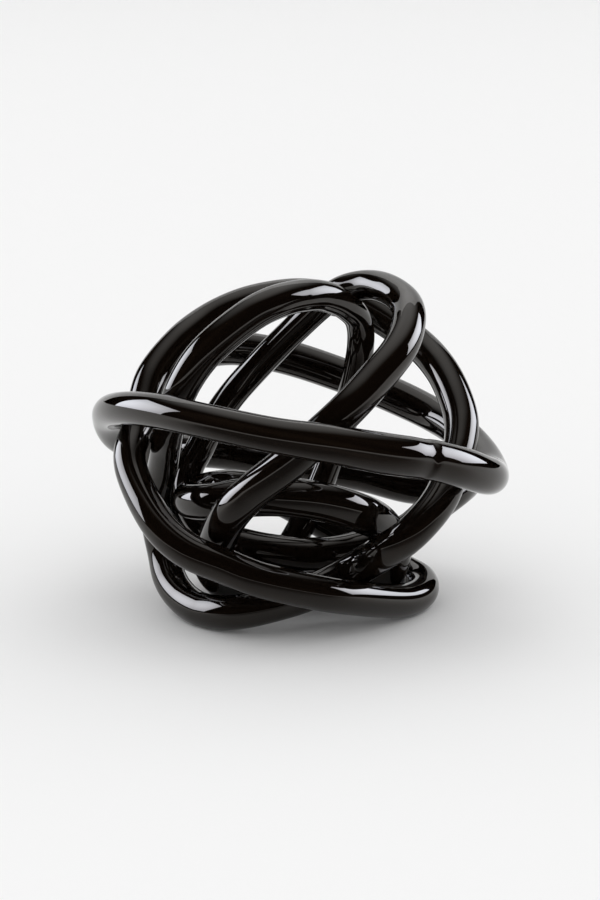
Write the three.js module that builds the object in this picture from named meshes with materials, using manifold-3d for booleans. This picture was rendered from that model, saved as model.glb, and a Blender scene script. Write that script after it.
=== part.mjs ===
// Glass knot: a solid glass rod wound round an open ball and fused end to end.
// Millimetres, Z up. The origin is on the table, under the middle of the knot.

import * as THREE from "three";
import { mergeVertices } from "three/addons/utils/BufferGeometryUtils.js";
import Module from "manifold-3d";

// Glass and ball
const GLASS_DIAMETER = 17;
const BALL_RADIUS = 98;
const FUSE_GAP = 0.3;
const FUSE_NECK = 0.5;
const FOOT_DEPTH = 0.5;

// Smoothness of the sweep
const RING_SIDES = 14;
const RING_STEP = 8;

// Steps that measure the length of a sweep, and a step along the winding to find its direction
const MEASURING_STEPS = 1200;
const SMALL_SHARE = 0.00001;

// Corners of a sweep closer than this are one corner
const SAME_CORNER = 0.0001;

// What the foot cut takes away below the table, wider than the knot
const FOOT_CUT_SIZE = 4 * BALL_RADIUS;

// The ball radius runs to the middle of the glass in the outermost loop.
// Each loop inside it lies in by so many layers, and a layer is one glass and one gap.
const LAYER = GLASS_DIAMETER + FUSE_GAP;

// Each point of the winding, chosen by hand along the loops:
// degrees round from the front, degrees up, layers in, and thickness in glass diameters.

// Across the front from the fuse that shows, round the left, along the back and round the right.
const beltRoute = [
  [43, 8, 0.48, 1.13], [26, 12.5, 0.5, 1.13], [8.5, 16.5, 0.4, 1.06], [-8.5, 19.5, 0.32, 1.03],
  [-28, 21.5, 0.32, 1.01], [-48, 21.5, 0.38, 1], [-69.5, 18, 0.36, 0.97], [-94, 9.5, 0.26, 0.94],
  [-114, -2.5, 0.06, 0.96], [-134, -9.5, 0.1, 0.96], [-156.5, -14, 0.14, 0.96], [180, -19, 0.34, 0.96],
  [159, -21, 0.4, 0.96], [139, -22.5, 0.26, 0.96], [127, -20.5, 0.04, 0.96], [116.5, -17, 0.12, 0.96],
  [108.5, -18.5, 0.66, 0.96], [105.5, -27, 1.26, 0.96],
];

// Low through the middle from right to left, then up behind the front arches to the top.
const innerRiseRoute = [
  [104.5, -38.5, 1.56, 0.96], [110.5, -49, 1.82, 0.96], [105.5, -62, 2.26, 0.96], [88, -80.5, 2.58, 0.96],
  [-82.5, -79, 2.66, 0.93], [-96, -62.5, 2.48, 0.9], [-104.5, -48, 2.08, 0.87], [-110.5, -36.5, 1.8, 0.84],
  [-114.5, -26, 1.74, 0.82], [-119, -16.5, 1.92, 0.82], [-125, -8.5, 2.18, 0.8], [-139, 11, 2.38, 0.79],
  [-154, 30, 2.34, 0.79], [165, 59, 1.44, 0.79],
];

// Over the top, down the front inside the belt, low round the left and along the floor.
const overTopRoute = [
  [145.5, 63.5, 1.02, 0.82], [124.5, 63, 0.76, 0.84], [97.5, 61, 0.58, 0.87], [76.5, 55, 0.5, 0.9],
  [60, 49.5, 0.52, 0.93], [46.5, 43.5, 0.7, 0.96], [30.5, 36, 1.08, 0.99], [17.5, 28, 1.32, 1.01],
  [7, 20, 1.62, 1.04], [-7.5, 7.5, 1.9, 1.07], [-20, -3.5, 2.02, 1.08], [-30.5, -14.5, 2.04, 1.1],
  [-51, -37, 2, 1.08], [-61, -46, 1.72, 1.07], [-70, -56.5, 1.48, 1.07], [-76.5, -67, 1.48, 1.07],
  [-100.5, -84, 1.66, 1.04], [110.5, -77.5, 1.52, 1.04], [100, -64.5, 1.24, 1.04], [91.5, -56.5, 1.3, 1.01],
  [85, -49.5, 1.64, 1.01], [78.5, -43.5, 2.08, 1.04], [71.5, -39, 2.6, 1.04], [50.5, -33.5, 3.04, 1.07],
  [20, -26, 3.46, 1.07], [-11, -19, 3.44, 1.07],
];

// Leftwards through the middle, round inside the left bend and back along the floor.
const innerFloorRoute = [
  [-40, -20, 3.2, 1.07], [-64.5, -23.5, 2.76, 1.04], [-84.5, -25.5, 2.3, 1.01], [-102.5, -28, 2.54, 1],
  [-123, -34, 2.98, 0.99], [-154.5, -43, 2.96, 0.96], [176, -48.5, 2.42, 0.96], [153, -50.5, 1.7, 0.96],
];

// Round the low right bend, across the lower front, up the left side and over to the top.
const lowerFrontRoute = [
  [135, -51, 1, 0.96], [120.5, -50, 0.48, 0.96], [106, -49, 0.26, 0.96], [91.5, -50.5, 0.3, 0.97],
  [72.5, -53.5, 0.6, 0.99], [22, -48, 1.18, 1.01], [6, -43.5, 1.22, 1.01], [-18.5, -35, 1.12, 1.01],
  [-30, -30.5, 1.08, 1.01], [-43.5, -24.5, 0.92, 1], [-55, -18, 0.94, 0.99], [-75, -4.5, 1, 0.93],
  [-81.5, 1.5, 0.98, 0.93], [-87.5, 5.5, 1.1, 0.93], [-92.5, 10, 1.24, 0.93], [-96.5, 16, 1.2, 0.96],
  [-106.5, 24, 1.1, 1.01], [-120.5, 35, 1.02, 1.01], [-133.5, 42, 0.94, 1.01], [-147.5, 48, 0.94, 1.01],
  [-162.5, 51, 0.94, 0.99], [180, 51, 0.88, 0.99],
];

// Down the right side from the top, then low across the front to the left foot.
const rightSideRoute = [
  [162, 48.5, 0.84, 0.99], [148.5, 44, 0.78, 0.99], [125, 33, 0.94, 0.99], [111, 26, 1.04, 0.99],
  [100, 18.5, 1.14, 0.99], [91, 10.5, 1.14, 0.99], [83, 3.5, 1.24, 0.97], [75, -4, 1.36, 0.97],
  [65, -11.5, 1.36, 1.03], [57.5, -17.5, 1.4, 1.04], [50.5, -24.5, 1.52, 1.04], [46, -32.5, 1.7, 1.04],
  [52, -52.5, 2.02, 1.04], [33.5, -61.5, 1.92, 1.01], [3.5, -62.5, 1.64, 1.01], [-21, -57.5, 1.18, 1],
  [-38.5, -54.5, 0.78, 1], [-59, -53.5, 0.52, 0.99], [-77, -50.5, 0.42, 0.99], [-89.5, -45.5, 0.46, 0.99],
];

// Up inside the left side, over in the tall front arch, and down through the middle.
const leftArchRoute = [
  [-98, -38, 0.72, 0.97], [-99, -28.5, 1, 0.96], [-97.5, -18.5, 1.34, 0.91], [-91, -9, 1.78, 0.91],
  [-82.5, 2.5, 1.94, 0.9], [-74, 12, 1.86, 0.94], [-67, 20, 1.7, 0.96], [-60, 31, 1.38, 0.96],
  [-54.5, 45, 1.18, 0.96], [-44, 63.5, 1.06, 0.93], [-34, 72, 1, 0.9], [0, 83, 1.12, 0.87],
  [96.5, 81, 1.26, 0.84], [116, 70, 1.46, 0.79], [124, 59.5, 1.68, 0.75], [130, 49, 2.16, 0.75],
  [140.5, 18.5, 3.4, 0.79], [152.5, -23.5, 3.68, 0.8], [180, -66.5, 2.84, 0.82],
];

// Low round the left back, up, across the back, and round the right bend to the first fuse.
const backRiseRoute = [
  [-151, -70.5, 1.98, 0.82], [-131, -64, 0.98, 0.82], [-127, -49, 0.68, 0.82], [-120.5, -34, 0.66, 0.82],
  [-115.5, -19, 0.94, 0.82], [-114, -4.5, 1.22, 0.84], [-119.5, 11.5, 1.16, 0.87], [-131, 19.5, 0.82, 0.9],
  [-143, 21.5, 0.52, 0.93], [-155.5, 21.5, 0.42, 0.96], [-173, 18.5, 0.6, 0.99], [164, 12, 0.74, 0.99],
  [145.5, 7, 0.76, 1.01], [128, 2.5, 0.66, 1.01], [114.5, 0, 0.66, 1.03], [99.5, -3.5, 0.52, 1.03],
  [81.5, -5, 0.36, 1.04], [66, -1, 0.26, 1.1], [53.5, 4, 0.34, 1.13],
];

const LENGTHS = [
  { name: "belt_rod", route: beltRoute },
  { name: "inner_rise_rod", route: innerRiseRoute },
  { name: "over_top_rod", route: overTopRoute },
  { name: "inner_floor_rod", route: innerFloorRoute },
  { name: "lower_front_rod", route: lowerFrontRoute },
  { name: "right_side_rod", route: rightSideRoute },
  { name: "left_arch_rod", route: leftArchRoute },
  { name: "back_rise_rod", route: backRiseRoute },
];

const blackGlass = new THREE.MeshStandardMaterial({
  name: "black_glass",
  color: 0x070606,
  roughness: 0.05,
  metalness: 0,
});

function onBall([round, up, layersIn]) {
  const radius = BALL_RADIUS - layersIn * LAYER;
  const roundAngle = THREE.MathUtils.degToRad(round);
  const upAngle = THREE.MathUtils.degToRad(up);
  const reach = radius * Math.cos(upAngle);
  return new THREE.Vector3(
    reach * Math.sin(roundAngle),
    -reach * Math.cos(roundAngle),
    radius * Math.sin(upAngle),
  );
}

const windingRoute = LENGTHS.flatMap((length) => length.route);
const winding = new THREE.CatmullRomCurve3(windingRoute.map(onBall), true, "centripetal");

// Radius of the glass at a share of the whole winding, eased from point to point.
function glassRadius(share) {
  const count = windingRoute.length;
  const place = THREE.MathUtils.euclideanModulo(share, 1) * count;
  const index = Math.floor(place);
  const thisWidth = windingRoute[index % count][3];
  const nextWidth = windingRoute[(index + 1) % count][3];
  const ease = THREE.MathUtils.smoothstep(place - index, 0, 1);
  return (THREE.MathUtils.lerp(thisWidth, nextWidth, ease) * GLASS_DIAMETER) / 2;
}

// One length of the winding, between two shares of it.
class WindingLength extends THREE.Curve {
  constructor(start, end) {
    super();
    this.start = start;
    this.end = end;
    this.arcLengthDivisions = MEASURING_STEPS;
  }

  shareOfWinding(t) {
    return THREE.MathUtils.lerp(this.start, this.end, t);
  }

  getPoint(t, target = new THREE.Vector3()) {
    return winding.getPoint(THREE.MathUtils.euclideanModulo(this.shareOfWinding(t), 1), target);
  }
}

// The share of the winding that moves a point by half of the gap between two ends.
function halfGapShare(share) {
  const before = winding.getPoint(THREE.MathUtils.euclideanModulo(share - SMALL_SHARE, 1));
  const after = winding.getPoint(THREE.MathUtils.euclideanModulo(share + SMALL_SHARE, 1));
  const travelPerShare = before.distanceTo(after) / (2 * SMALL_SHARE);
  return FUSE_GAP / 2 / travelPerShare;
}

function sweepLength(start, end) {
  const path = new WindingLength(start + halfGapShare(start), end - halfGapShare(end));
  const steps = Math.round(path.getLength() / RING_STEP);
  const ring = new THREE.Shape();
  for (let side = 0; side < RING_SIDES; side += 1) {
    const angle = (2 * Math.PI * side) / RING_SIDES;
    const corner = new THREE.Vector2(Math.cos(angle), Math.sin(angle));
    if (side === 0) {
      ring.moveTo(corner.x, corner.y);
    } else {
      ring.lineTo(corner.x, corner.y);
    }
  }
  ring.closePath();
  const swept = new THREE.ExtrudeGeometry(ring, { steps, extrudePath: path, curveSegments: 1 });
  return fillOut(swept, path, steps);
}

// Moves each corner of the unit sweep out to the glass radius at its own ring.
function fillOut(swept, path, steps) {
  const middles = path.getSpacedPoints(steps);
  const radii = middles.map((middle, index) => {
    const share = path.shareOfWinding(path.getUtoTmapping(index / steps));
    const neck = index === 0 || index === steps ? FUSE_NECK : 0;
    return glassRadius(share) - neck;
  });
  const corners = swept.getAttribute("position");
  const corner = new THREE.Vector3();
  for (let index = 0; index < corners.count; index += 1) {
    corner.fromBufferAttribute(corners, index);
    const distances = middles.map((middle) => middle.distanceToSquared(corner));
    const nearest = distances.indexOf(Math.min(...distances));
    corner.sub(middles[nearest]).multiplyScalar(radii[nearest]).add(middles[nearest]);
    corners.setXYZ(index, corner.x, corner.y, corner.z);
  }
  return swept;
}

const wasm = await Module();
wasm.setup();

function toSolid(geometry) {
  const bare = geometry.clone();
  bare.deleteAttribute("normal");
  bare.deleteAttribute("uv");
  const merged = mergeVertices(bare, SAME_CORNER);
  return new wasm.Manifold(
    new wasm.Mesh({
      numProp: 3,
      vertProperties: new Float32Array(merged.getAttribute("position").array),
      triVerts: new Uint32Array(merged.index.array),
    }),
  );
}

function toGeometry(solid) {
  const mesh = solid.getMesh();
  const geometry = new THREE.BufferGeometry();
  geometry.setAttribute("position", new THREE.BufferAttribute(mesh.vertProperties, mesh.numProp));
  geometry.setIndex(new THREE.BufferAttribute(mesh.triVerts, 1));
  geometry.computeVertexNormals();
  return geometry;
}

function buildRods() {
  const count = windingRoute.length;
  let first = 0;
  return LENGTHS.map((length) => {
    const start = first / count;
    first += length.route.length;
    return { name: length.name, solid: toSolid(sweepLength(start, first / count)) };
  });
}

// Stands the knot on the table, with a small ground foot wherever it touches.
function seatOnTable(rods) {
  const bounds = new THREE.Box3();
  rods.forEach(({ solid }) => {
    const box = solid.boundingBox();
    bounds.expandByPoint(new THREE.Vector3(...box.min));
    bounds.expandByPoint(new THREE.Vector3(...box.max));
  });
  const middle = bounds.getCenter(new THREE.Vector3());
  const table = bounds.min.z + FOOT_DEPTH;
  const cutGeometry = new THREE.BoxGeometry(FOOT_CUT_SIZE, FOOT_CUT_SIZE, FOOT_CUT_SIZE);
  cutGeometry.translate(0, 0, -FOOT_CUT_SIZE / 2);
  const belowTable = toSolid(cutGeometry);
  return rods.map(({ name, solid }) => {
    const seated = solid.translate([-middle.x, -middle.y, -table]);
    return { name, solid: seated.subtract(belowTable) };
  });
}

const knot = new THREE.Group();
knot.name = "glass_knot";
seatOnTable(buildRods()).forEach(({ name, solid }) => {
  const rod = new THREE.Mesh(toGeometry(solid), blackGlass);
  rod.name = name;
  knot.add(rod);
});

export default knot;
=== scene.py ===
"""Glass knot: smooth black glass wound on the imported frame, on a pale studio floor."""

import math

import bpy
from bpy.props import FloatProperty, FloatVectorProperty, IntProperty, PointerProperty
from mathutils import Matrix, Vector


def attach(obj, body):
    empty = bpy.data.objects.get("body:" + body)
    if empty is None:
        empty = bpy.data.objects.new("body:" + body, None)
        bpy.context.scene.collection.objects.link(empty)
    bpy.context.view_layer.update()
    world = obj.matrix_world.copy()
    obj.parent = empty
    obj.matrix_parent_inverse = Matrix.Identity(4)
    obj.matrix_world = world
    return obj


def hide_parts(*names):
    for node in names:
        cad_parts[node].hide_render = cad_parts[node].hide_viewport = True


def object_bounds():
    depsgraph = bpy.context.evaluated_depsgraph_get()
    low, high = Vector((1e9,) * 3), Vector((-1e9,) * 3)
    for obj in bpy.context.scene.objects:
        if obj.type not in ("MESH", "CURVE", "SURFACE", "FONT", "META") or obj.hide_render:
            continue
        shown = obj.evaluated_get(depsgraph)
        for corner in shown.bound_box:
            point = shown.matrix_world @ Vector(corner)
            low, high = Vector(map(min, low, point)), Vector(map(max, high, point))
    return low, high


bl_info = {
    "name": "Glass Knot",
    "version": (1, 0, 0),
    "blender": (4, 5, 0),
    "location": "View3D > Sidebar > Glass Knot",
    "description": "Winds a knotted black glass rod and sets it on a pale studio floor",
    "category": "Object",
}

MM = 0.001

# The attribute that holds where each place of the glass lay while the rod was straight
STRAIGHT_PLACE = "straight_place"
# The two lengths that meet at the fuse seen from the front:
# the one that ends there, and the one that starts there
FUSE_THAT_SHOWS = ("back_rise_rod", "belt_rod")
# The side of the glass on which the line of a fuse comes earliest
NECK_LEAN_WAY = Vector((0.3, -0.5, 0.8))
# The side of the glass on which a fuse is deepest
NECK_FACING = Vector((0.6, -0.76, 0.25))
# Two points of the winding are taken to lie at least this far apart, in metres
LEAST_STEP = 1e-9
# How near the table a corner counts as lying on it, for the foot cut
CUT_LOOSENESS = 0.0001 * MM
# Faces shade smooth where they meet at less than this
SMOOTH_BELOW = math.radians(40)

# How strongly the glass bends light, and the warm tint of what it mirrors
GLASS_IOR = 1.52
GLOSS_TINT = (1.0, 0.955, 0.9, 1.0)
# Noise cells in a metre of glass: across it both ways, and along it
STREAK_CELLS = (260, 260, 9)
WAVE_CELLS = (48, 48, 17)
CORD_CELLS = (210, 210, 12)
# Cells in a metre of the standing knot, the same every way
HAZE_CELLS = (46, 46, 46)
SEED_CELLS = 130.0
# The values of their noise between which streaks and haze set in
STREAK_RANGE = (0.42, 0.78)
HAZE_RANGE = (0.46, 0.74)
# Roughness of the polished glass, from clean to hazy, and of the ground feet
POLISH_ROUGHNESS = (0.016, 0.075)
GROUND_ROUGHNESS = 0.42
# Heights above the table between which the grinding of a foot fades out
GROUND_EDGE = (0.15 * MM, 0.5 * MM)
# Depths of the slow waves, of the fine cords drawn along the glass, and of the pits of seeds
WAVE_DEPTH = 0.1 * MM
CORD_DEPTH = 0.0015 * MM
SEED_DEPTH = 0.02 * MM
# How far a pit reaches from its seed, as a share of a cell
SEED_REACH = 0.045

PAPER_ROUGHNESS = 0.8
# The flag is this many times as wide as it is deep, and lies this share of its depth forward
FLAG_WIDENING = 1.4
FLAG_FORWARD = 0.46
FLAG_LIFT = 0.3 * MM
FLAG_COLOUR = (0.02, 0.02, 0.02, 1)
# From and to where the flag thins out, as shares of its size, and how much it covers there
FLAG_FADE = (0.28, 0.5)
FLAG_COVER = (0.92, 0.0)
# A softbox starts to fade at this share of its size from its middle, and is this bright there
SOFTBOX_CORE = 0.1
SOFTBOX_GLOW = 1.15
# The photograph's height and the camera's focal length, in the photograph's pixels
PHOTO_HEIGHT = 900
PHOTO_FOCAL_LENGTH = 2500
# The camera's sensor, in millimetres
SENSOR_HEIGHT = 36.0

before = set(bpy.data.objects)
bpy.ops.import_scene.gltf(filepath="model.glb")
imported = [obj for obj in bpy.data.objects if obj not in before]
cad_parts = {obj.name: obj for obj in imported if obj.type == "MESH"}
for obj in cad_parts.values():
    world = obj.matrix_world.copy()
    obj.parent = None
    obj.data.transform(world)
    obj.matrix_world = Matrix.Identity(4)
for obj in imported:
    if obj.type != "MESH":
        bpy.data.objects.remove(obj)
CAD_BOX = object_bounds()

# Each point of the winding: degrees round from the front, degrees up, layers in,
# and thickness in glass diameters. The points were first read along the loops.
# Fitting programs then moved most of them, so this isn't a list chosen by hand.
WINDING = {
    # Across the front from the fuse that shows, round the left, along the back, round the right.
    "belt_rod": (
        (43, 8, 0.48, 1.13), (26, 12.5, 0.5, 1.13), (8.5, 16.5, 0.4, 1.06), (-8.7, 19, 0.33, 0.98),
        (-28.2, 21.1, 0.31, 0.97), (-48.2, 21.3, 0.36, 0.97), (-69.6, 17.9, 0.35, 0.94),
        (-94, 9.5, 0.25, 0.92), (-114, -2.7, 0.07, 0.95), (-133.8, -10.1, 0.11, 0.98),
        (-156.3, -14.9, 0.16, 1.01), (-180, -20, 0.36, 1.01), (158.8, -22, 0.4, 1.02),
        (140.2, -23.2, 0.12, 1.01), (128.5, -20.7, -0.1, 1), (116.5, -17.1, 0.17, 0.98),
        (108.2, -18.5, 0.72, 0.97), (103.6, -26.9, 1.35, 0.98),
    ),
    # Low through the middle from right to left, then up behind the front arches to the top.
    "inner_rise_rod": (
        (104.6, -38.4, 1.6, 0.98), (109, -48.8, 1.88, 0.98), (107.4, -61.8, 2.26, 0.98),
        (88.2, -80.4, 2.62, 0.98), (-83.1, -78.9, 2.7, 0.96), (-96.6, -62.1, 2.5, 0.93),
        (-104.8, -47.8, 2.08, 0.9), (-110.6, -36.3, 1.8, 0.87), (-114.6, -25.7, 1.73, 0.86),
        (-119, -16.1, 1.9, 0.88), (-124.8, -8, 2.15, 0.87), (-138.3, 11.3, 2.34, 0.86),
        (-153.4, 30.1, 2.32, 0.86), (165.2, 59.1, 1.45, 0.85),
    ),
    # Over the top, down the front inside the belt, low round the left and along the floor.
    "over_top_rod": (
        (145.3, 63.6, 1.02, 0.86), (124.3, 63.2, 0.74, 0.88), (98, 61, 0.59, 0.9),
        (77, 55.1, 0.51, 0.93), (60.3, 49.6, 0.54, 0.96), (46.5, 43.5, 0.7, 0.99),
        (30.6, 35.9, 1.07, 1.01), (18.1, 27.9, 1.3, 1.01), (7.6, 20.1, 1.62, 1.03),
        (-7.1, 7.7, 1.91, 1.04), (-20, -3.3, 2.02, 1.05), (-30.9, -14.3, 2.02, 1.08),
        (-51.2, -36.6, 1.97, 1.08), (-61, -45.7, 1.7, 1.08), (-70, -56.5, 1.48, 1.07),
        (-76.5, -67, 1.48, 1.07), (-98, -84, 1.66, 1.04), (113.5, -77.5, 1.5, 1.04),
        (100, -64.5, 1.24, 1.04), (92, -56.5, 1.3, 1.01), (84.5, -49.5, 1.64, 1.01),
        (78.5, -43.6, 2.09, 1.05), (71.1, -39, 2.62, 1.07), (50.9, -33.3, 3.05, 1.13),
        (20.4, -26.1, 3.45, 1.12), (-11, -19.8, 3.43, 1.12),
    ),
    # Leftwards through the middle, round inside the left bend and back along the floor.
    "inner_floor_rod": (
        (-42.1, -21.6, 3.24, 1.11), (-61.7, -21.8, 2.69, 1.07), (-83.6, -23.8, 2.33, 1.04),
        (-103.6, -26.2, 2.54, 1.05), (-123.9, -32, 2.98, 1.04), (-154, -41.8, 2.98, 1),
        (176.7, -48.3, 2.43, 0.98), (153.2, -50.6, 1.71, 0.97),
    ),
    # Round the low right bend, across the lower front, up the left side and over to the top.
    "lower_front_rod": (
        (135, -51, 1, 0.96), (120.5, -50, 0.48, 0.96), (106, -49, 0.26, 0.96),
        (91.5, -50.5, 0.3, 0.97), (72.5, -53.5, 0.6, 0.99), (22, -48, 1.18, 1.01),
        (6, -43.5, 1.22, 1.01), (-18.4, -34.8, 1.13, 1.01), (-29.8, -30.2, 1.1, 1.01),
        (-43.5, -24.1, 0.92, 1.01), (-55.2, -17.6, 0.9, 1.01), (-75, -4.5, 0.94, 0.95),
        (-81.4, 1.4, 0.95, 0.94), (-86.9, 5.4, 1.08, 0.94), (-92, 9.9, 1.21, 0.96),
        (-97.4, 15.6, 1.15, 1), (-106.1, 23.5, 1.05, 1.05), (-120, 34.4, 1, 1.03),
        (-133.3, 41.4, 0.93, 1.01), (-147.2, 47.7, 0.92, 1), (-161.9, 51.1, 0.92, 1.01),
        (-179.6, 51.2, 0.85, 1.01),
    ),
    # Down the right side from the top, then low across the front to the left foot.
    "right_side_rod": (
        (162.4, 48.6, 0.83, 1.01), (148.7, 43.7, 0.78, 1), (125.2, 32.6, 0.92, 0.99),
        (111.3, 25.6, 1.02, 1), (100.4, 18.1, 1.1, 1.01), (91.2, 10.3, 1.14, 1.01),
        (83, 3.3, 1.24, 0.97), (74.9, -4.1, 1.36, 0.96), (64.9, -11.5, 1.37, 1.01),
        (57.4, -17.6, 1.41, 1.01), (50.9, -25.1, 1.52, 1.01), (47.5, -33.6, 1.74, 1.02),
        (49.9, -51.6, 2.02, 1.04), (36.2, -63.5, 1.93, 1.02), (3.9, -64.2, 1.64, 1.03),
        (-21, -57.5, 1.18, 1), (-38.5, -54.5, 0.78, 1), (-59, -53.5, 0.52, 0.99),
        (-77, -50.5, 0.42, 0.99), (-89.5, -45.5, 0.46, 0.99),
    ),
    # Up inside the left side, over in the tall front arch, and down through the middle.
    "left_arch_rod": (
        (-98, -38, 0.72, 0.97), (-99, -28.6, 1.02, 0.95), (-97.5, -18.5, 1.36, 0.9),
        (-91, -8.9, 1.79, 0.9), (-82.5, 2.6, 1.94, 0.89), (-74.1, 12.2, 1.86, 0.92),
        (-67.1, 20, 1.71, 0.94), (-60, 30.7, 1.41, 0.95), (-54.5, 44.5, 1.23, 0.99),
        (-44, 63.1, 1.13, 0.98), (-33.6, 71.7, 1.08, 0.97), (0.5, 82.9, 1.18, 0.94),
        (96.6, 81, 1.3, 0.89), (117, 70.4, 1.49, 0.83), (125.3, 59.9, 1.72, 0.8),
        (131.2, 49.5, 2.2, 0.81), (141.4, 18.5, 3.42, 0.83), (152.9, -23.6, 3.69, 0.82),
        (180, -66.5, 2.84, 0.82),
    ),
    # Low round the left back, up, across the back, and round the right bend to the first fuse.
    "back_rise_rod": (
        (-148, -72, 2.04, 0.82), (-131.5, -64, 0.98, 0.82), (-128.5, -48.5, 0.58, 0.82),
        (-120.5, -34, 0.66, 0.82), (-115.5, -19, 0.94, 0.82), (-114, -4.6, 1.23, 0.85),
        (-119.5, 11.3, 1.18, 0.89), (-130.8, 19.1, 0.85, 0.94), (-143, 21.2, 0.55, 0.99),
        (-155.6, 21.2, 0.45, 1.04), (-173.3, 18.3, 0.61, 1.08), (164, 11.7, 0.75, 1.07),
        (145.8, 6.6, 0.76, 1.09), (128.5, 2.1, 0.67, 1.05), (115, -0.2, 0.67, 1.04),
        (99.7, -3.6, 0.53, 1.03), (81.5, -5, 0.36, 1.04), (66, -1, 0.26, 1.1),
        (53.5, 4, 0.34, 1.13),
    ),
}


class KnotSettings(bpy.types.PropertyGroup):
    """Sizes and colours of the glass."""

    glass_diameter: FloatProperty(
        name="Glass diameter",
        description="Thickness of the glass rod where it is one glass thick",
        default=17 * MM,
        unit="LENGTH",
    )
    ball_radius: FloatProperty(
        name="Ball radius",
        description="From the ball's middle to the middle of the glass in the outermost loop",
        default=98 * MM,
        unit="LENGTH",
    )
    ball_middle: FloatVectorProperty(
        name="Ball middle",
        description="The place of the ball's middle in the part's frame",
        subtype="TRANSLATION",
        size=3,
        default=(0.515 * MM, 0.109 * MM, 79.487 * MM),
    )
    fuse_gap: FloatProperty(
        name="Fuse gap",
        description="Gap between two ends or two layers of the frame's glass",
        default=0.3 * MM,
        unit="LENGTH",
    )
    polish_depth: FloatProperty(
        name="Polish depth",
        description="How far the round glass lies inside the frame's flat-sided glass",
        default=0.25 * MM,
        unit="LENGTH",
    )
    neck_depth: FloatProperty(
        name="Fuse neck depth",
        description="How far the glass draws in at the fuse that shows",
        default=0.9 * MM,
        unit="LENGTH",
    )
    polished_neck_depth: FloatProperty(
        name="Polished neck depth",
        description="How far the glass draws in at the other fuses, which are polished out",
        default=0.06 * MM,
        unit="LENGTH",
    )
    neck_place: FloatProperty(
        name="Fuse neck place",
        description="How far along the belt the neck lies from the frame's fuse",
        default=6.6 * MM,
        unit="LENGTH",
    )
    neck_before: FloatProperty(
        name="Fuse neck before",
        description="Reach of the neck towards the frame's fuse",
        default=1.8 * MM,
        unit="LENGTH",
    )
    neck_after: FloatProperty(
        name="Fuse neck after",
        description="Reach of the neck away from the frame's fuse",
        default=6 * MM,
        unit="LENGTH",
    )
    neck_behind: FloatProperty(
        name="Fuse neck behind",
        description="Depth of the neck at the back of the glass, as a share of its depth in front",
        default=0.25,
        subtype="FACTOR",
    )
    neck_lean: FloatProperty(
        name="Fuse neck lean",
        description="How far the line of a fuse strays along the glass from one side to the other",
        default=0.8 * MM,
        unit="LENGTH",
    )
    ring_steps: IntProperty(
        name="Rings per point",
        description="Rings of faces between two points of the winding",
        default=28,
        min=4,
    )
    side_steps: IntProperty(
        name="Side steps",
        description="Steps in each half of the glass's round section, past the first two",
        default=30,
        min=4,
    )
    glass_colour: FloatVectorProperty(
        name="Glass colour",
        description="Colour deep in the black glass",
        subtype="COLOR",
        size=4,
        default=(0.0033, 0.0021, 0.0014, 1.0),
    )
    streak_colour: FloatVectorProperty(
        name="Streak colour",
        description="Colour of the faint brown streaks drawn out along the glass",
        subtype="COLOR",
        size=4,
        default=(0.0075, 0.0048, 0.0032, 1.0),
    )


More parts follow.
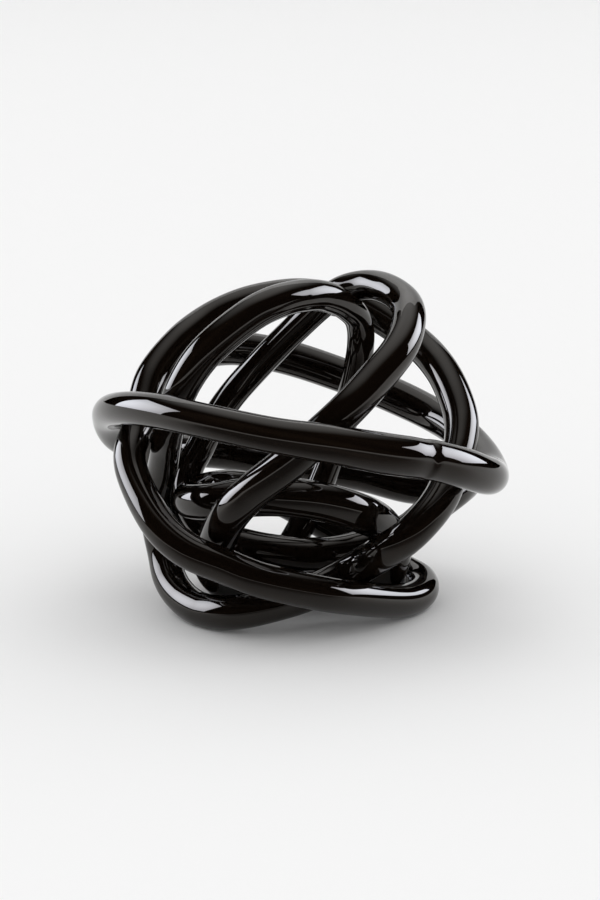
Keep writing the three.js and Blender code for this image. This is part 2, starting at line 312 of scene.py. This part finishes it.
class StudioSettings(bpy.types.PropertyGroup):
    """Floor, backdrop, lights and camera."""

    floor_colour: FloatVectorProperty(
        name="Floor colour",
        description="Colour of the floor and backdrop",
        subtype="COLOR",
        size=4,
        default=(0.88, 0.88, 0.88, 1.0),
    )
    floor_width: FloatProperty(
        name="Floor width",
        description="Width and depth of the floor",
        default=14.0,
        unit="LENGTH",
    )
    backdrop_width: FloatProperty(
        name="Backdrop width",
        description="Width and height of the backdrop",
        default=4.6,
        unit="LENGTH",
    )
    backdrop_distance: FloatProperty(
        name="Backdrop distance",
        description="From the knot to the backdrop behind it",
        default=4.0,
        unit="LENGTH",
    )
    room_light: FloatProperty(
        name="Room light",
        description="Brightness of the soft light from all round",
        default=1.08,
    )
    flag_depth: FloatProperty(
        name="Flag depth",
        description="Depth of the black cloth on the floor in front, seen only in the gloss",
        default=1.2,
        unit="LENGTH",
    )
    light_colour: FloatVectorProperty(
        name="Side light colour",
        description="Colour of the two softboxes beside the knot",
        subtype="COLOR",
        size=3,
        default=(0.88, 0.91, 1.0),
    )
    side_light_power: FloatProperty(
        name="Side light power",
        description="Power of each of the two softboxes beside the knot",
        default=13.0,
        unit="POWER",
    )
    left_light_angle: FloatProperty(
        name="Left light angle",
        description="Where the left softbox stands, round from the camera",
        default=math.radians(-104),
        subtype="ANGLE",
    )
    left_light_height: FloatProperty(
        name="Left light height",
        description="How far up from the knot the left softbox stands",
        default=math.radians(19),
        subtype="ANGLE",
    )
    left_light_size: FloatVectorProperty(
        name="Left light size",
        description="Width and height of the left softbox",
        size=2,
        default=(0.72, 0.64),
        unit="LENGTH",
    )
    right_light_angle: FloatProperty(
        name="Right light angle",
        description="Where the right softbox stands, round from the camera",
        default=math.radians(104),
        subtype="ANGLE",
    )
    right_light_height: FloatProperty(
        name="Right light height",
        description="How far up from the knot the right softbox stands",
        default=math.radians(23),
        subtype="ANGLE",
    )
    right_light_size: FloatVectorProperty(
        name="Right light size",
        description="Width and height of the right softbox",
        size=2,
        default=(0.78, 0.54),
        unit="LENGTH",
    )
    side_light_distance: FloatProperty(
        name="Side light distance",
        description="From the knot to each side softbox",
        default=1.0,
        unit="LENGTH",
    )
    top_light_power: FloatProperty(
        name="Top light power",
        description="Power of the broad softbox overhead",
        default=20.0,
        unit="POWER",
    )
    top_light_place: FloatVectorProperty(
        name="Top light place",
        description="From the knot to the broad softbox overhead",
        subtype="TRANSLATION",
        size=3,
        default=(0, 0.45, 1.3),
    )
    top_light_size: FloatVectorProperty(
        name="Top light size",
        description="Width and depth of the softbox overhead",
        size=2,
        default=(2.4, 3.0),
        unit="LENGTH",
    )
    camera_distance: FloatProperty(
        name="Camera distance",
        description="From the camera to the middle of the ball",
        default=1.196,
        unit="LENGTH",
    )
    camera_aim: FloatVectorProperty(
        name="Camera aim",
        description="The place in the middle of the ball that the camera looks at",
        subtype="TRANSLATION",
        size=3,
        default=(0.5 * MM, 0.1 * MM, 79.5 * MM),
    )
    camera_height_angle: FloatProperty(
        name="Camera height angle",
        description="How far the camera looks down",
        default=math.radians(15),
        subtype="ANGLE",
    )


def deselect_all():
    """Leaves edit mode and deselects everything."""
    if bpy.context.object and bpy.context.object.mode != "OBJECT":
        bpy.ops.object.mode_set(mode="OBJECT")
    bpy.ops.object.select_all(action="DESELECT")


def select_only(piece):
    """Selects one piece and makes it the active one."""
    deselect_all()
    piece.select_set(True)
    bpy.context.view_layer.objects.active = piece


def way_out(distance, turn, lift):
    """The way to a place at a distance, so far round from the front and so far up, in radians."""
    reach = distance * math.cos(lift)
    return Vector((reach * math.sin(turn), -reach * math.cos(turn), distance * math.sin(lift)))


def on_ball(point, knot):
    """A point of the winding, in metres from the ball's middle."""
    turn, lift, layers, _thickness = point
    radius = knot.ball_radius - layers * (knot.glass_diameter + knot.fuse_gap)
    return way_out(radius, math.radians(turn), math.radians(lift))


def root_of_step(start, end):
    """The square root of the distance between two points, which spaces a centripetal spline."""
    return max((end - start).length, LEAST_STEP) ** 0.5


def span_handles(before, start, end, after):
    """The two curve handles of the span from start to end, on a centripetal spline."""
    step_before = root_of_step(before, start)
    step = root_of_step(start, end)
    step_after = root_of_step(end, after)
    straight = (end - start) / step
    leave = (start - before) / step_before - (end - before) / (step_before + step) + straight
    arrive = straight - (after - start) / (step + step_after) + (after - end) / step_after
    return start + leave * step / 3, end - arrive * step / 3


def winding_spans(knot):
    """All points of the closed winding, with the handles and thickness at each."""
    points = [point for route in WINDING.values() for point in route]
    places = [on_ball(point, knot) for point in points]
    count = len(points)
    spans = [
        span_handles(places[i - 1], places[i], places[(i + 1) % count], places[(i + 2) % count])
        for i in range(count)
    ]
    return [
        {
            "place": places[i],
            "leave": spans[i][0],
            "arrive": spans[i - 1][1],
            "radius": points[i][3] * knot.glass_diameter / 2,
        }
        for i in range(count)
    ]


def neck_at(past, depth, knot):
    """How far the glass draws in, so far past a fuse, or before it where past is negative."""
    past = past - knot.neck_place
    reach = knot.neck_after if past > 0 else knot.neck_before
    return depth * math.exp(-((past / reach) ** 2))


def shape_rings(rod, node, knot):
    """Necks the glass at its fuses, and stores where each place lay on the straight rod."""
    # Blender rounds a curve with four sides, and two more for each step
    sides = 4 + 2 * knot.side_steps
    points = rod.data.vertices
    firsts = range(0, len(points), sides)
    rings = [[points[first + side] for side in range(sides)] for first in firsts]
    middles = [sum((point.co for point in ring), Vector()) / sides for ring in rings]
    along = [0.0]
    for here, there in zip(middles, middles[1:]):
        along.append(along[-1] + (there - here).length)
    first_neck = knot.neck_depth if node == FUSE_THAT_SHOWS[1] else knot.polished_neck_depth
    last_neck = knot.neck_depth if node == FUSE_THAT_SHOWS[0] else knot.polished_neck_depth
    straight = []
    for ring, middle, reach in zip(rings, middles, along):
        for side, point in enumerate(ring):
            out = point.co - middle
            radius = out.length
            lean = knot.neck_lean * out.dot(NECK_LEAN_WAY) / radius
            facing = max(0, out.dot(NECK_FACING) / radius)
            neck = neck_at(reach + lean, first_neck, knot)
            neck += neck_at(reach - along[-1] + lean, last_neck, knot)
            neck *= knot.neck_behind + (1 - knot.neck_behind) * facing
            point.co = middle + out * (1 - (knot.polish_depth + neck) / radius)
            angle = 2 * math.pi * side / sides
            straight.extend((radius * math.cos(angle), radius * math.sin(angle), reach))
    places = rod.data.attributes.new(STRAIGHT_PLACE, "FLOAT_VECTOR", "POINT")
    places.data.foreach_set("vector", straight)


def wind_length(node, stops, knot):
    """Winds one length of glass through its stops, round and smooth, and returns it as a mesh."""
    deselect_all()
    bpy.ops.curve.primitive_bezier_curve_add(enter_editmode=True, location=(0, 0, 0))
    rod = bpy.context.object
    bpy.ops.curve.select_all(action="SELECT")
    bpy.ops.curve.delete(type="VERT")
    for stop in stops:
        bpy.ops.curve.vertex_add(location=stop["place"])
    bpy.ops.object.mode_set(mode="OBJECT")
    line = rod.data.splines[0]
    for point, stop in zip(line.bezier_points, stops):
        point.handle_left_type = "FREE"
        point.handle_right_type = "FREE"
        point.co = stop["place"]
        point.handle_left = stop["arrive"]
        point.handle_right = stop["leave"]
        point.radius = stop["radius"] / (knot.glass_diameter / 2)
    line.radius_interpolation = "EASE"
    rod.data.dimensions = "3D"
    rod.data.twist_mode = "MINIMUM"
    rod.data.bevel_depth = knot.glass_diameter / 2
    rod.data.bevel_resolution = knot.side_steps
    rod.data.resolution_u = knot.ring_steps
    bpy.ops.object.convert(target="MESH")
    rod = bpy.context.object
    rod.name = "glass_" + node
    rod.data.name = rod.name
    shape_rings(rod, node, knot)
    bpy.ops.object.mode_set(mode="EDIT")
    bpy.ops.mesh.select_all(action="SELECT")
    bpy.ops.mesh.fill_holes(sides=0)
    bpy.ops.mesh.normals_make_consistent(inside=False)
    bpy.ops.object.mode_set(mode="OBJECT")
    return rod


def seat_rod(rod, middle):
    """Moves a length to its place on the frame and grinds off what lies under the table."""
    select_only(rod)
    rod.data.transform(Matrix.Translation(middle))
    lowest = min(vertex.co.z for vertex in rod.data.vertices)
    if lowest < 0:
        bpy.ops.object.mode_set(mode="EDIT")
        bpy.ops.mesh.select_all(action="SELECT")
        bpy.ops.mesh.bisect(
            plane_co=(0, 0, 0),
            plane_no=(0, 0, -1),
            use_fill=True,
            clear_outer=True,
            threshold=CUT_LOOSENESS,
        )
        bpy.ops.object.mode_set(mode="OBJECT")
    select_only(rod)
    bpy.ops.object.shade_smooth_by_angle(angle=SMOOTH_BELOW)


def noise_on(nodes, links, place, scale, detail, roughness=0.5, distortion=0.0):
    """A noise pattern on a place, with its scale given for each way of it."""
    stretch = nodes.new("ShaderNodeMapping")
    stretch.inputs["Scale"].default_value = scale
    links.new(place, stretch.inputs["Vector"])
    noise = nodes.new("ShaderNodeTexNoise")
    noise.inputs["Scale"].default_value = 1.0
    noise.inputs["Detail"].default_value = detail
    noise.inputs["Roughness"].default_value = roughness
    noise.inputs["Distortion"].default_value = distortion
    links.new(stretch.outputs["Vector"], noise.inputs["Vector"])
    return noise.outputs["Fac"]


def spread(nodes, links, value, span, result):
    """Turns the values of one span into those of another, softly at both ends."""
    node = nodes.new("ShaderNodeMapRange")
    node.interpolation_type = "SMOOTHSTEP"
    node.inputs["From Min"].default_value = span[0]
    node.inputs["From Max"].default_value = span[1]
    node.inputs["To Min"].default_value = result[0]
    node.inputs["To Max"].default_value = result[1]
    links.new(value, node.inputs["Value"])
    return node.outputs["Result"]


def from_middle(nodes, links, place):
    """How far a place on a sheet lies from its middle, as a share of the sheet's size."""
    centred = nodes.new("ShaderNodeMapping")
    centred.inputs["Location"].default_value = (-0.5, -0.5, 0)
    links.new(place, centred.inputs["Vector"])
    distance = nodes.new("ShaderNodeVectorMath")
    distance.operation = "LENGTH"
    links.new(centred.outputs["Vector"], distance.inputs[0])
    return distance.outputs["Value"]


def add_bump(nodes, links, height, depth, below=None):
    """Raises the surface by a height, over what lies below it."""
    bump = nodes.new("ShaderNodeBump")
    bump.inputs["Strength"].default_value = 1.0
    bump.inputs["Distance"].default_value = depth
    links.new(height, bump.inputs["Height"])
    if below:
        links.new(below, bump.inputs["Normal"])
    return bump.outputs["Normal"]


def black_glass_material(knot):
    """Fire-polished black glass with streaks, waves, cords, seeds, haze and ground feet."""
    material = bpy.data.materials.new("black_glass")
    material.use_nodes = True
    nodes = material.node_tree.nodes
    links = material.node_tree.links
    shader = nodes["Principled BSDF"]
    shader.inputs["IOR"].default_value = GLASS_IOR
    shader.inputs["Specular Tint"].default_value = GLOSS_TINT
    standing = nodes.new("ShaderNodeTexCoord").outputs["Object"]
    straight_place = nodes.new("ShaderNodeAttribute")
    straight_place.attribute_type = "GEOMETRY"
    straight_place.attribute_name = STRAIGHT_PLACE
    drawn = straight_place.outputs["Vector"]

    streaks = noise_on(
        nodes, links, drawn, STREAK_CELLS, detail=5.0, roughness=0.6, distortion=0.4
    )
    tint = nodes.new("ShaderNodeMix")
    tint.data_type = "RGBA"
    tint.inputs["A"].default_value = knot.glass_colour
    tint.inputs["B"].default_value = knot.streak_colour
    links.new(spread(nodes, links, streaks, STREAK_RANGE, (0.0, 1.0)), tint.inputs["Factor"])
    links.new(tint.outputs["Result"], shader.inputs["Base Color"])

    haze = noise_on(
        nodes, links, standing, HAZE_CELLS, detail=7.0, roughness=0.66, distortion=0.3
    )
    polish = spread(nodes, links, haze, HAZE_RANGE, POLISH_ROUGHNESS)
    height = nodes.new("ShaderNodeSeparateXYZ")
    links.new(standing, height.inputs["Vector"])
    ground = spread(nodes, links, height.outputs["Z"], GROUND_EDGE, (GROUND_ROUGHNESS, 0.0))
    rough = nodes.new("ShaderNodeMath")
    rough.operation = "MAXIMUM"
    links.new(polish, rough.inputs[0])
    links.new(ground, rough.inputs[1])
    links.new(rough.outputs["Value"], shader.inputs["Roughness"])

    waves = noise_on(nodes, links, drawn, WAVE_CELLS, detail=1.5, roughness=0.4)
    cords = noise_on(nodes, links, drawn, CORD_CELLS, detail=2.0)
    seeds = nodes.new("ShaderNodeTexVoronoi")
    seeds.inputs["Scale"].default_value = SEED_CELLS
    links.new(standing, seeds.inputs["Vector"])
    pits = spread(nodes, links, seeds.outputs["Distance"], (0.0, SEED_REACH), (0.0, 1.0))
    surface = add_bump(nodes, links, waves, WAVE_DEPTH)
    surface = add_bump(nodes, links, cords, CORD_DEPTH, surface)
    surface = add_bump(nodes, links, pits, SEED_DEPTH, surface)
    links.new(surface, shader.inputs["Normal"])
    return material


class GLASSKNOT_OT_wind_glass(bpy.types.Operator):
    """Winds the eight lengths of black glass along the frame"""

    bl_idname = "glassknot.wind_glass"
    bl_label = "Wind the Glass"

    def execute(self, context):
        knot = context.scene.glass_knot
        stops = winding_spans(knot)
        rods = {}
        first = 0
        for node, route in WINDING.items():
            picked = [stops[(first + i) % len(stops)] for i in range(len(route) + 1)]
            first += len(route)
            rods[node] = wind_length(node, picked, knot)
        middle = Vector(knot.ball_middle)
        material = black_glass_material(knot)
        for node, rod in rods.items():
            seat_rod(rod, middle)
            rod.data.materials.clear()
            rod.data.materials.append(material)
            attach(rod, "root")
            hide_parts(node)
        return {"FINISHED"}


def stage_material(name, colour, roughness):
    """A plain material for the stage that mirrors nothing."""
    material = bpy.data.materials.new(name)
    material.use_nodes = True
    shader = material.node_tree.nodes["Principled BSDF"]
    shader.inputs["Base Color"].default_value = colour
    shader.inputs["Roughness"].default_value = roughness
    shader.inputs["Specular IOR Level"].default_value = 0.0
    return material


def add_softbox(name, away, size, power, colour, rim, edge):
    """Adds a rectangular softbox that shows in the glass, brightest in its middle.

    At edge, a share of its size from its middle, it has faded to the brightness rim.
    """
    low, high = CAD_BOX
    middle = (low + high) / 2
    deselect_all()
    bpy.ops.object.light_add(type="AREA", location=middle + away)
    light = bpy.context.object
    light.name = name
    light.data.shape = "RECTANGLE"
    light.data.size, light.data.size_y = size
    light.data.energy = power
    light.data.color = colour
    light.rotation_euler = (-away).to_track_quat("-Z", "Y").to_euler()
    light.visible_camera = False
    light.visible_diffuse = False
    light.data.use_nodes = True
    nodes = light.data.node_tree.nodes
    links = light.data.node_tree.links
    across = nodes.new("ShaderNodeNewGeometry").outputs["Parametric"]
    distance = from_middle(nodes, links, across)
    fade = spread(nodes, links, distance, (SOFTBOX_CORE, edge), (SOFTBOX_GLOW, rim))
    links.new(fade, nodes["Emission"].inputs["Strength"])


def front_flag_material():
    """Black cloth that thins out softly towards the rim of an oval."""
    material = stage_material("front_flag", FLAG_COLOUR, 1.0)
    nodes = material.node_tree.nodes
    links = material.node_tree.links
    distance = from_middle(nodes, links, nodes.new("ShaderNodeTexCoord").outputs["UV"])
    cover = spread(nodes, links, distance, FLAG_FADE, FLAG_COVER)
    links.new(cover, nodes["Principled BSDF"].inputs["Alpha"])
    return material


def add_floor(studio):
    """Adds the pale floor and the backdrop behind it."""
    paper = stage_material("pale_paper", studio.floor_colour, PAPER_ROUGHNESS)
    deselect_all()
    bpy.ops.mesh.primitive_plane_add(size=studio.floor_width, location=(0, 0, 0))
    floor = bpy.context.object
    floor.name = "studio_floor"
    floor.data.materials.append(paper)
    deselect_all()
    bpy.ops.mesh.primitive_plane_add(
        size=studio.backdrop_width,
        location=(0, studio.backdrop_distance, studio.backdrop_width / 2),
        rotation=(math.pi / 2, 0, 0),
    )
    backdrop = bpy.context.object
    backdrop.name = "studio_backdrop"
    backdrop.data.materials.append(paper)


def add_flag(studio):
    """Lays the black cloth on the floor in front, seen only in the gloss of the glass."""
    deselect_all()
    depth = studio.flag_depth
    bpy.ops.mesh.primitive_plane_add(size=1, location=(0, -FLAG_FORWARD * depth, FLAG_LIFT))
    flag = bpy.context.object
    flag.name = "front_flag"
    flag.scale = (FLAG_WIDENING * depth, depth, 1)
    flag.data.materials.append(front_flag_material())
    flag.visible_camera = False
    flag.visible_diffuse = False
    flag.visible_shadow = False


def add_lights(studio):
    """Adds a softbox on each side, a broad one overhead, and soft light from all round."""
    for side in ("left", "right"):
        angle = getattr(studio, side + "_light_angle")
        height = getattr(studio, side + "_light_height")
        add_softbox(
            side + "_softbox",
            way_out(studio.side_light_distance, angle, height),
            getattr(studio, side + "_light_size"),
            studio.side_light_power,
            studio.light_colour,
            rim=0.72,
            edge=0.7,
        )
    add_softbox(
        "top_softbox",
        Vector(studio.top_light_place),
        studio.top_light_size,
        studio.top_light_power,
        (1, 1, 1),
        rim=0.0,
        edge=0.5,
    )
    world = bpy.data.worlds.new("studio_air")
    world.use_nodes = True
    background = world.node_tree.nodes["Background"]
    background.inputs["Color"].default_value = (1, 1, 1, 1)
    background.inputs["Strength"].default_value = studio.room_light
    world.cycles_visibility.glossy = False
    bpy.context.scene.world = world


def add_camera(studio):
    """Adds the camera at the photograph's angle, straight on to the front and looking down."""
    deselect_all()
    lift = studio.camera_height_angle
    place = Vector(studio.camera_aim) + way_out(studio.camera_distance, 0, lift)
    bpy.ops.object.camera_add(location=place, rotation=(math.pi / 2 - lift, 0, 0))
    camera = bpy.context.object
    camera.name = "studio_camera"
    camera.data.sensor_fit = "VERTICAL"
    camera.data.sensor_height = SENSOR_HEIGHT
    camera.data.lens = SENSOR_HEIGHT * PHOTO_FOCAL_LENGTH / PHOTO_HEIGHT
    bpy.context.scene.camera = camera


class GLASSKNOT_OT_add_studio(bpy.types.Operator):
    """Adds the pale floor, the black flag, the lights and the camera"""

    bl_idname = "glassknot.add_studio"
    bl_label = "Add the Studio"

    def execute(self, context):
        studio = context.scene.glass_studio
        add_floor(studio)
        add_flag(studio)
        add_lights(studio)
        add_camera(studio)
        context.scene.view_settings.view_transform = "Standard"
        return {"FINISHED"}


class GLASSKNOT_PT_panel(bpy.types.Panel):
    """Lists the knot's settings and its two steps"""

    bl_idname = "GLASSKNOT_PT_panel"
    bl_label = "Glass Knot"
    bl_space_type = "VIEW_3D"
    bl_region_type = "UI"
    bl_category = "Glass Knot"

    def draw(self, context):
        layout = self.layout
        for settings in (context.scene.glass_knot, context.scene.glass_studio):
            for name in type(settings).__annotations__:
                layout.prop(settings, name)
        layout.operator(GLASSKNOT_OT_wind_glass.bl_idname)
        layout.operator(GLASSKNOT_OT_add_studio.bl_idname)


CLASSES = (
    KnotSettings,
    StudioSettings,
    GLASSKNOT_OT_wind_glass,
    GLASSKNOT_OT_add_studio,
    GLASSKNOT_PT_panel,
)


def register():
    for cls in CLASSES:
        bpy.utils.register_class(cls)
    bpy.types.Scene.glass_knot = PointerProperty(type=KnotSettings)
    bpy.types.Scene.glass_studio = PointerProperty(type=StudioSettings)


def unregister():
    del bpy.types.Scene.glass_studio
    del bpy.types.Scene.glass_knot
    for cls in reversed(CLASSES):
        bpy.utils.unregister_class(cls)


def main():
    register()
    bpy.ops.glassknot.wind_glass()
    bpy.ops.glassknot.add_studio()


if __name__ == "__main__":
    main()
